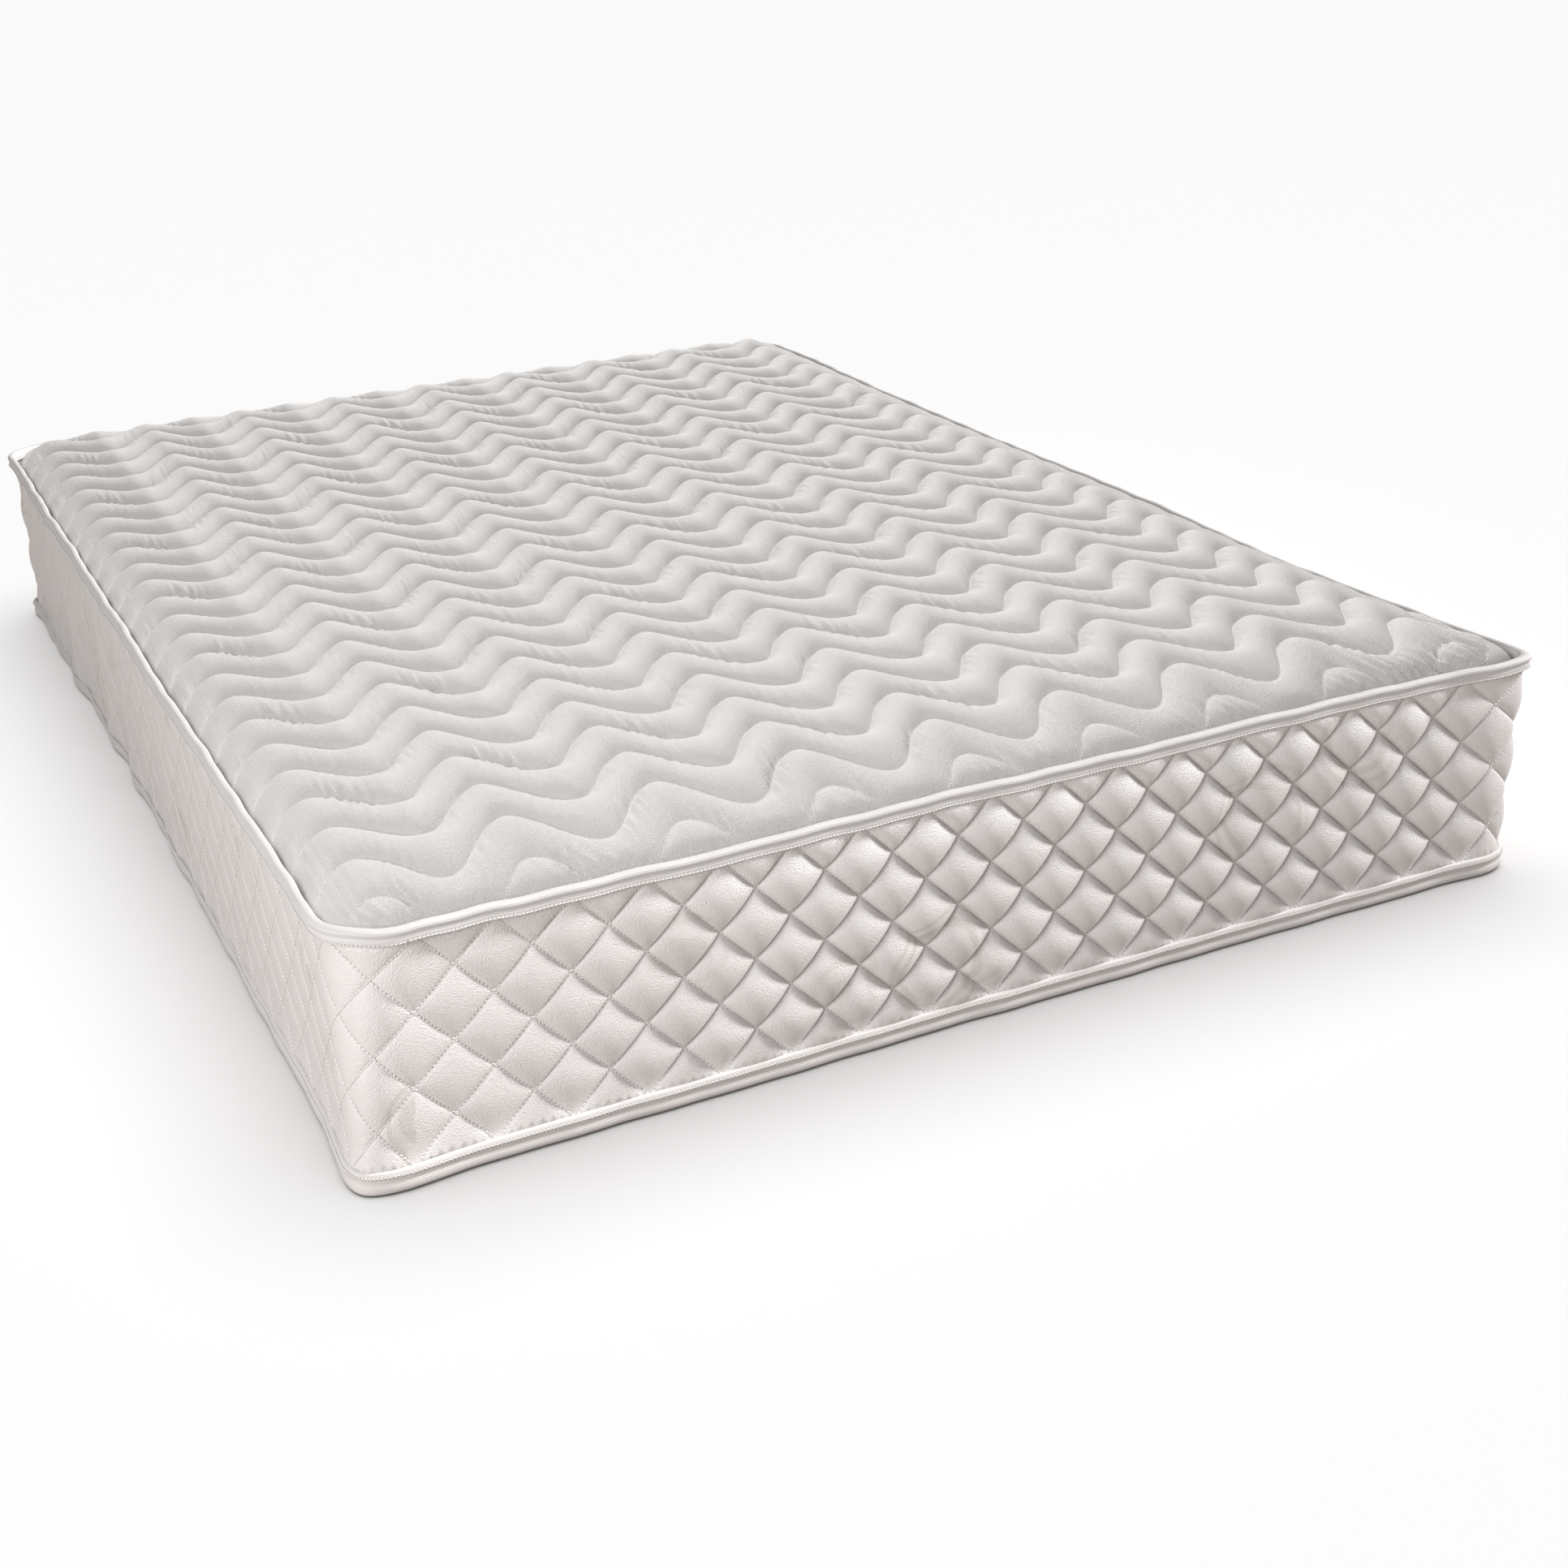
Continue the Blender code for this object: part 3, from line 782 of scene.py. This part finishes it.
def tucks(places, row):
    """Height of the small gathers across the channels beside their seams, most where the wave slants."""
    x = places[:, 0]
    across = np.linspace(-HALF_WIDTH, HALF_WIDTH, 4000)
    run = np.concatenate([[0], np.cumsum(np.diff(across) / wave_slant(across[1:]))])
    along = np.interp(x, across, run)
    nearest = np.round(row)
    off_seam = np.abs(row - nearest) * ROW_PITCH * wave_slant(x)
    channel = np.floor(row)
    bend = np.round((x - WAVE_CREST) / (WAVE_LONG / 2) - 0.5)
    luck = 0.5 + 0.5 * np.sin(12.9898 * channel + 78.233 * bend + 3.7 * nearest)
    wander = 2.2 * np.sin(2 * np.pi * along / TUCK_WANDER_SHORT + 1.7 * channel)
    wander = wander + 1.3 * np.sin(2 * np.pi * along / TUCK_WANDER_LONG + 2.9 * nearest)
    lean = 60 * off_seam * np.sin(3.1 * channel + 1.3 * bend)
    fold = np.sin(2 * np.pi * along / TUCK_LONG + wander + lean)
    slanted = np.abs(np.sin(wave_angle(x))) - TUCK_LEAST_SLANT
    slanted = np.clip(slanted / TUCK_LEAST_SLANT, 0, 1)
    beside = np.clip(off_seam / TUCK_START, 0, 1) * np.exp(-off_seam / TUCK_REACH)
    return TUCK_HIGH * fold * slanted * beside * (0.15 + 0.85 * luck**2)


def edge_folds(places):
    """Height of the drag folds that run in from the foot tape, most by the right foot corner."""
    x, y = places[:, 0], places[:, 1]
    inside = in_from_top_edge(x, y)
    lean = x + FOLD_LEAN * inside
    fold = np.sin(2 * np.pi * lean / FOLD_LONG + 2.3 * np.sin(2 * np.pi * lean / FOLD_WANDER))
    grouped = np.clip(np.sin(2 * np.pi * x / FOLD_GROUP + 0.6) + 0.25, 0, 1)
    whole = np.clip((x - WHOLE_FOLDS_FROM) / 0.1, 0, 1)
    strength = np.where(x > STRONG_FOLDS_FROM, 1, WEAK_FOLDS) * np.maximum(grouped, whole)
    at_foot = np.clip((-y - FOLDS_FROM) / 0.05, 0, 1)
    beside = np.clip(inside / FOLD_START, 0, 1)
    return FOLD_HIGH * fold * strength * at_foot * beside * np.exp(-((inside / FOLD_REACH) ** 2))


places = vertex_places(finer_mesh)
row = marked(finer_mesh, "row")
places[:, 2] += tucks(places, row) * np.clip(in_from_top_edge(places[:, 0], places[:, 1]) / 0.03, 0, 1)
places[:, 2] += edge_folds(places)
move_vertices(finer_mesh, places)
close_panel(top.data, TOP_BACK_HEIGHT, PANEL_TURN_IN)
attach(top, "root")
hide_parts("top_panel_ticking", "top_panel_fibre_wadding", "top_panel_quilting_foam")


# ---------------------------------------------------------------------------------------------
# Edge tapes: woven binding folded over the raw edges of panel and border and sewn through. The top
# one stands up as a rounded lip; the lower one is wider and turns under on the floor.
# ---------------------------------------------------------------------------------------------
TAPE_THICK = 0.0009
TAPE_STEPS_ROUND = 1340
LOW_TAPE_TUCK, TUCK_MIDDLE, TUCK_ALONG = 0.006, 0.55, 0.75
TAPE_KINKS = ((0.0007, 13, 1.1), (0.0004, 37, 0.3))
TAPE_STANDS_OUT = ((0.0004, 53, 0.7), (0.0004, 86, 0))
FAR_CORNER_OUT, FAR_CORNER_REACH = 0.0050, 0.06
RIB_SCALE = 314  # scale of a wave texture whose ribs are 1 mm apart
TOP_TAPE_SECTION = (
    (0.0022, 0.2532),
    (0.0002, 0.2536),
    (-0.0012, 0.2552),
    (-0.0016, 0.2580),
    (-0.0010, 0.2602),
    (-0.0004, 0.2616),
    (-0.0014, 0.2630),
    (-0.0026, 0.2655),
    (-0.0018, 0.2684),
    (0.0006, 0.2702),
    (0.0036, 0.2707),
    (0.0064, 0.2694),
    (0.0082, 0.2665),
    (0.0088, 0.2610),
    (0.0090, 0.2560),
)
LOW_TAPE_SECTION = (
    (0.0030, 0.0252),
    (-0.0014, 0.0250),
    (-0.0024, 0.0236),
    (-0.0028, 0.0200),
    (-0.0024, 0.0160),
    (-0.0015, 0.0136),
    (-0.0028, 0.0114),
    (-0.0034, 0.0080),
    (-0.0026, 0.0040),
    (0.0000, 0.0014),
    (0.0035, 0.0009),
    (0.0095, 0.0009),
)


def near_corner(along, reach):
    """1 at the corner between the left side and the foot end, falling to 0 a reach away."""
    off = np.abs(np.mod(along + QUARTER / 2 + ROUND / 2, ROUND) - ROUND / 2)
    return np.exp(-((off / reach) ** 2))


def tape_lift(along):
    """Rise and dip of the top tape, which kinks a little all round and most at the left foot corner."""
    turn = 2 * np.pi * along / ROUND
    kink = 0.0004 * np.sin(DIAMONDS_ROUND * turn + 2.0 * np.sin(11 * turn))
    return waves(turn, TAPE_KINKS) + kink * (1 + near_corner(along, 0.22))


def tape_lean(along):
    """How far the tapes stand out or are drawn in, beside the sway of the wall. The left corner of the
    head end sticks out."""
    turn = 2 * np.pi * along / ROUND
    far_corner = ROUND - SIDES[1] - 1.5 * QUARTER
    far_out = np.exp(-(((along - far_corner) / FAR_CORNER_REACH) ** 2))
    return waves(turn, TAPE_STANDS_OUT) + FAR_CORNER_OUT * far_out


def tape(name, section, finish, lift, tuck_under):
    """A tape of that section, as insets and heights, all the way round. Lift is the share of the kinks it
    has, and tuck_under how far it is drawn in on the left side."""
    section = np.array(section)
    run = np.concatenate([[0], np.cumsum(np.hypot(*np.diff(section, axis=0).T))])
    bm = bmesh.new()
    bmesh.ops.create_grid(bm, x_segments=TAPE_STEPS_ROUND, y_segments=2 * len(section), size=1)
    made = new_piece(bm, name, finish)
    flat = vertex_places(made.data)
    along, across = (flat[:, 0] + 1) / 2 * ROUND, (flat[:, 1] + 1) / 2 * run[-1]
    lay_flat(made.data, np.stack([along, across], axis=-1))
    tucked = tuck_under * left_side(along, TUCK_MIDDLE, TUCK_ALONG)
    inset = np.interp(across, run, section[:, 0]) - tape_lean(along) + tucked
    height = np.interp(across, run, section[:, 1]) + lift * tape_lift(along)
    move_vertices(made.data, around(along, height, inset))
    if section[0, 1] > section[-1, 1]:
        made.data.flip_normals()
    weld(made.data)
    bm = bmesh.new()
    bm.from_mesh(made.data)
    bmesh.ops.smooth_vert(
        bm, verts=bm.verts, factor=0.5, use_axis_x=True, use_axis_y=True, use_axis_z=True
    )
    bmesh.ops.solidify(bm, geom=bm.faces[:], thickness=TAPE_THICK)
    bmesh.ops.recalc_face_normals(bm, faces=bm.faces)
    bm.to_mesh(made.data)
    bm.free()
    made.data.shade_smooth()
    return made


def woven_tape(name, colour, shade):
    """Binding tape with ribs along it and a fine weave across. It follows the tape's length and width."""
    made, nodes, links, shader = material_with(name, colour, 0.55, sheen=0.2)
    texture, _, bump = add_grain(nodes, links, shader, colour, shade, 0.6, 0.45)
    lay = nodes.new("ShaderNodeUVMap")
    lay.uv_map = "flat"
    height = texture.outputs["Height"]
    for direction, pitch_mm, share in (("Y", 2.1, 1.0), ("X", 0.9, 0.45)):
        ribs = nodes.new("ShaderNodeTexWave")
        ribs.bands_direction = direction
        ribs.inputs["Scale"].default_value = RIB_SCALE / pitch_mm
        add = nodes.new("ShaderNodeMath")
        add.operation = "MULTIPLY_ADD"
        add.inputs[1].default_value = share
        links.new(lay.outputs["UV"], ribs.inputs["Vector"])
        links.new(ribs.outputs["Fac"], add.inputs[0])
        links.new(height, add.inputs[2])
        height = add.outputs["Value"]
    links.new(height, bump.inputs["Height"])
    return made


top_weave = woven_tape("top_tape_weave", (0.73, 0.705, 0.69), (0.69, 0.66, 0.645))
low_weave = woven_tape("lower_tape_weave", (0.77, 0.738, 0.72), (0.72, 0.682, 0.662))
top_tape = tape("top_tape", TOP_TAPE_SECTION, top_weave, 1, 0)
low_tape = tape("lower_tape", LOW_TAPE_SECTION, low_weave, 0, LOW_TAPE_TUCK)
for piece, node in ((top_tape, "top_edge_tape"), (low_tape, "bottom_edge_tape")):
    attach(piece, "root")
    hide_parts(node)


# ---------------------------------------------------------------------------------------------
# Stitching: white thread, sunk in the quilting seams at about 5 mm a stitch, and in a row along the
# edge of each tape. The lower tape's row is a zigzag. Each stitch is a short length of its own.
# ---------------------------------------------------------------------------------------------
STITCH_SPACING, TAPE_STITCH_SPACING = 0.0048, 0.0040
THREAD_RADIUS = 0.0007
STITCH_SHARE = 0.8
SEAM_END, SEAM_POINTS, SHORTEST_SEAM = 0.004, 1400, 20
BORDER_SEAM_END, BORDER_SEAM_POINTS, BORDER_THREAD_OUT = 0.02, 160, 0.0006
TOP_ROW_HEIGHT, TOP_ROW_INSET, TOP_ROW_POINTS = 0.2556, -0.0020, 6000
ZIGZAG_HIGH, ZIGZAG_LOW, ZIGZAG_INSET = 0.0218, 0.0192, -0.0037
thread, nodes, links, shader = material_with("thread", (0.86, 0.83, 0.81), 0.45, sheen=0.1)
add_grain(nodes, links, shader, (0.88, 0.85, 0.83), (0.80, 0.77, 0.75), 0.4, 0.4)


def sew(name, starts, ends, radius):
    """One stitch from each start to its end, all in one piece."""
    bm = bmesh.new()
    bmesh.ops.create_cone(bm, cap_ends=True, segments=5, radius1=radius, radius2=radius, depth=1)
    points = len(bm.verts)
    made = new_piece(bm, name, thread)
    repeats = made.modifiers.new("repeats", "ARRAY")
    repeats.count = len(starts)
    repeats.use_relative_offset = False
    mesh = work_in(made)
    local = vertex_places(mesh).reshape(len(starts), points, 3)
    way = ends - starts
    long = np.linalg.norm(way, axis=1, keepdims=True)
    tangent = way / long
    helper = np.where(np.abs(tangent[:, 2:]) > 0.9, [[1.0, 0, 0]], [[0, 0, 1.0]])
    side = np.cross(tangent, helper)
    side /= np.linalg.norm(side, axis=1, keepdims=True)
    up = np.cross(side, tangent)
    places = (
        ((starts + ends) / 2)[:, None]
        + local[:, :, :1] * side[:, None]
        + local[:, :, 1:2] * up[:, None]
        + local[:, :, 2:] * way[:, None]
    )
    move_vertices(mesh, places.reshape(-1, 3))
    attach(made, "root")
    return made


def stitched(line, spacing):
    """Starts and ends of the stitches along a line of close points."""
    step = np.linalg.norm(np.diff(line, axis=0), axis=1)
    run = np.concatenate([[0], np.cumsum(step)])
    starts = np.arange(0, run[-1] - spacing, spacing)
    return [
        np.stack([np.interp(place, run, line[:, axis]) for axis in range(3)], axis=-1)
        for place in (starts, starts + spacing * STITCH_SHARE)
    ]


def gather(lines, spacing):
    """Starts and ends of the stitches along many lines, together."""
    pairs = [stitched(line, spacing) for line in lines]
    return [np.concatenate([pair[end] for pair in pairs]) for end in (0, 1)]


seam_lines = []
for row in range(FIRST_ROW + 1, LAST_ROW):
    x = np.linspace(-top_half_width + SEAM_END, top_half_width - SEAM_END, SEAM_POINTS)
    y = wave_place(x, row)
    kept = in_from_top_edge(x, y) > SEAM_END
    for stretch in np.split(np.arange(len(x)), np.flatnonzero(np.diff(kept.astype(int))) + 1):
        if kept[stretch[0]] and len(stretch) > SHORTEST_SEAM:
            z = seam_height(x[stretch], y[stretch])
            seam_lines.append(drawn(np.stack([x[stretch], y[stretch], z], axis=-1)))
sew("top_quilting_stitches", *gather(seam_lines, STITCH_SPACING), THREAD_RADIUS)

seam_lines = []
for count in range(DIAMONDS_ROUND):
    climb = np.linspace(BORDER_SEAM_END, DIAMOND_ROWS - BORDER_SEAM_END, BORDER_SEAM_POINTS)
    for units in ((count + 2 * climb, count + 0 * climb), (count + 0 * climb, count - 2 * climb)):
        along, height = on_border(*units)
        seam_lines.append(around(along, height, seam_inset(height) - BORDER_THREAD_OUT))
sew("border_quilting_stitches", *gather(seam_lines, STITCH_SPACING), THREAD_RADIUS)

along = np.linspace(0, ROUND, TOP_ROW_POINTS)
row = around(along, TOP_ROW_HEIGHT + tape_lift(along), TOP_ROW_INSET - tape_lean(along))
top_row = sew("top_tape_stitches", *stitched(row, TAPE_STITCH_SPACING), THREAD_RADIUS)
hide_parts("top_tape_stitching")
count = 2 * round(ROUND / TAPE_STITCH_SPACING)
along = np.arange(count + 1) * ROUND / count
height = np.where(np.arange(count + 1) % 2 == 0, ZIGZAG_HIGH, ZIGZAG_LOW)
tucked = LOW_TAPE_TUCK * left_side(along, TUCK_MIDDLE, TUCK_ALONG)
row = around(along, height, ZIGZAG_INSET - tape_lean(along) + tucked)
low_row = sew("lower_tape_stitches", row[:-1], row[1:], THREAD_RADIUS * 0.8)
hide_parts("bottom_tape_stitching")


# ---------------------------------------------------------------------------------------------
# Room: a very pale floor and a white surround. The sides are lit from low on the right, with a soft
# fill on the left. The top is lit low from behind, faintly from above and softly over the foot end.
# The floor has one wide light of its own, from nearly overhead.
# ---------------------------------------------------------------------------------------------
ROOM_STRENGTH, FLOOR_REACH, SOFT_LIGHT_SIZE = 0.31, 30, 1.2
bm = bmesh.new()
bmesh.ops.create_grid(bm, x_segments=1, y_segments=1, size=FLOOR_REACH)
floor_paint, nodes, links, shader = material_with("floor_paint", (0.90, 0.90, 0.90), 0.95)
# The camera sees the floor pale, but light bouncing off it takes a darker warm brown: painted warm shade
# on the mattress's shaded sides.
ray = nodes.new("ShaderNodeLightPath")
camera_or_bounce_shade = nodes.new("ShaderNodeMix")
camera_or_bounce_shade.data_type = "RGBA"
camera_or_bounce_shade.inputs["A"].default_value = (0.50, 0.46, 0.43, 1)
camera_or_bounce_shade.inputs["B"].default_value = (0.90, 0.90, 0.90, 1)
links.new(ray.outputs["Is Camera Ray"], camera_or_bounce_shade.inputs["Factor"])
links.new(camera_or_bounce_shade.outputs["Result"], shader.inputs["Base Color"])
floor = new_piece(bm, "floor", floor_paint, smooth=False)

world = bpy.data.worlds.new("white_room")
world.use_nodes = True
bpy.context.scene.world = world
nodes, links = world.node_tree.nodes, world.node_tree.links
ray = nodes.new("ShaderNodeLightPath")
strength = nodes.new("ShaderNodeMix")
strength.inputs["A"].default_value = ROOM_STRENGTH
strength.inputs["B"].default_value = 1.0
nodes["Background"].inputs["Color"].default_value = (1, 1, 1, 1)
links.new(ray.outputs["Is Camera Ray"], strength.inputs["Factor"])
links.new(strength.outputs["Result"], nodes["Background"].inputs["Strength"])

lit_floor = bpy.data.collections.new("lit_floor")
lit_sides, lit_top = bpy.data.collections.new("lit_sides"), bpy.data.collections.new("lit_top")
lit_floor.objects.link(floor)
for piece in bpy.context.scene.objects:
    if piece.type == "MESH" and piece != floor:
        on_top = piece.name in ("quilted_top", "top_quilting_stitches")
        (lit_top if on_top else lit_sides).objects.link(piece)


def distant_light(name, turn, rise, strength, spread, lit):
    """A far light from that turn clockwise off the head end and that rise, in degrees, on some pieces."""
    light = bpy.data.objects.new(name, bpy.data.lights.new(name, "SUN"))
    light.data.energy = strength
    light.data.angle = math.radians(spread)
    turn, rise = math.radians(turn), math.radians(rise)
    way = Vector((math.sin(turn) * math.cos(rise), math.cos(turn) * math.cos(rise), math.sin(rise)))
    light.rotation_euler = way.to_track_quat("Z", "Y").to_euler()
    light.light_linking.receiver_collection = lit
    bpy.context.scene.collection.objects.link(light)


distant_light("right_light", 99, 33, 4.2, 10, lit_sides)
distant_light("back_light", 24, 29, 2.35, 20, lit_top)
distant_light("sky_light", 0, 80, 0.36, 120, lit_top)
distant_light("floor_light", 45, 84, 2.45, 75, lit_floor)


def soft_light(name, place, aim, power, lit):
    """A soft light of that power in watts, from a place towards an aim, on some pieces."""
    light = bpy.data.objects.new(name, bpy.data.lights.new(name, "AREA"))
    light.data.energy = power
    light.data.size = SOFT_LIGHT_SIZE
    light.location = place
    light.rotation_euler = (light.location - Vector(aim)).to_track_quat("Z", "Y").to_euler()
    light.light_linking.receiver_collection = lit
    bpy.context.scene.collection.objects.link(light)


soft_light("side_fill", (-2.2, -1.9, 1.2), (-0.5, -0.8, 0.15), 39, lit_sides)
soft_light("top_fill", (-1.5, -2.3, 1.3), (-0.1, -0.7, 0.28), 18, lit_top)
bpy.context.scene.view_settings.view_transform = "Standard"
